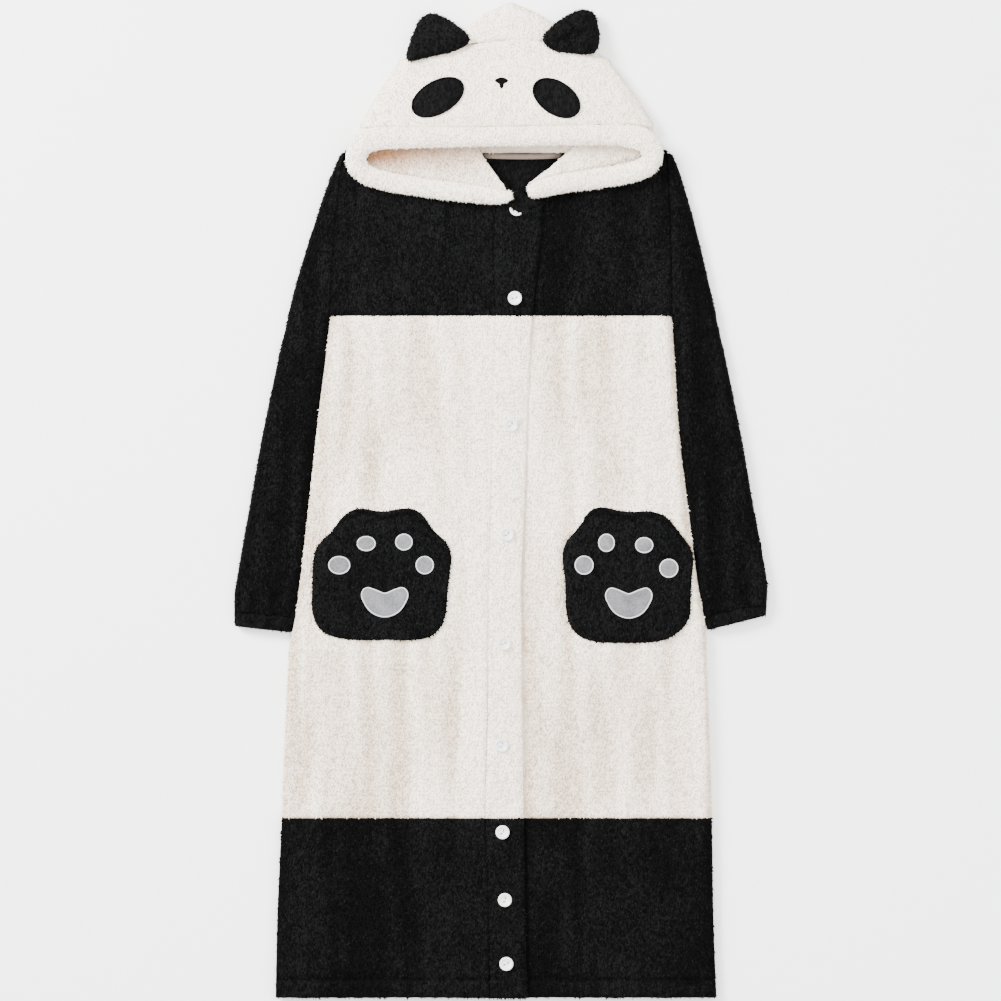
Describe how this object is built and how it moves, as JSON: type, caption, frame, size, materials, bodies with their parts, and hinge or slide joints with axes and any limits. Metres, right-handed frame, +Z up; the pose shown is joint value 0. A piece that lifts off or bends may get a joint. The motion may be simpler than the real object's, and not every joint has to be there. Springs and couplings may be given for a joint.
{
  "type": "hooded button-front robe",
  "caption": "Long hooded robe of sherpa fleece in black and cream with a button front, long sleeves, round ears on the hood and paw-shaped patch pockets, laid flat.",
  "frame": {"origin": "middle of the laid-out robe's bounding box, at floor level", "axes": "+Y from the hem towards the hood, +Z up out of the front of the robe, +X towards the viewer's right, which is the wearer's left"},
  "size_m": [0.693, 1.2934, 0.0425],
  "materials": {
    "black_fleece": "matt sherpa fleece with short curled pile",
    "cream_fleece": "matt sherpa fleece with short curled pile",
    "pad_satin": "smooth short-napped applique cloth with a stitched rim",
    "pearl_button": "pearly polished resin",
    "neck_tape": "smooth woven tape"
  },
  "bodies": {
    "root": {"back_yoke": "black_fleece", "back_lower": "black_fleece", "front_left_yoke": "black_fleece", "front_left_lower": "black_fleece", "front_right_yoke": "black_fleece", "front_right_lower": "black_fleece", "placket_yoke": "black_fleece", "placket_lower": "black_fleece", "sleeve_left_upper": "black_fleece", "sleeve_left_middle": "black_fleece", "sleeve_left_lower": "black_fleece", "sleeve_right_upper": "black_fleece", "sleeve_right_middle": "black_fleece", "sleeve_right_lower": "black_fleece", "cuff_left": "black_fleece", "cuff_right": "black_fleece", "ear_left": "black_fleece", "ear_right": "black_fleece", "eye_patch_left": "black_fleece", "eye_patch_right": "black_fleece", "nose_mark": "black_fleece", "pocket_left": "black_fleece", "pocket_right": "black_fleece", "back_body": "cream_fleece", "front_left_body": "cream_fleece", "front_right_body": "cream_fleece", "placket_body": "cream_fleece", "hood_face": "cream_fleece", "hood_crown": "cream_fleece", "hood_back": "cream_fleece", "hood_cheek_left": "cream_fleece", "hood_cheek_right": "cream_fleece", "hood_band": "cream_fleece", "pad_left_toe_1": "pad_satin", "pad_left_toe_2": "pad_satin", "pad_left_toe_3": "pad_satin", "pad_left_toe_4": "pad_satin", "pad_left_palm": "pad_satin", "pad_right_toe_1": "pad_satin", "pad_right_toe_2": "pad_satin", "pad_right_toe_3": "pad_satin", "pad_right_toe_4": "pad_satin", "pad_right_palm": "pad_satin", "button_1": "pearl_button", "button_2": "pearl_button", "button_3": "pearl_button", "button_4": "pearl_button", "button_5": "pearl_button", "button_6": "pearl_button", "button_7": "pearl_button", "button_8": "pearl_button", "button_9": "pearl_button", "neck_tape": "neck_tape"}
  },
  "joints": []
}
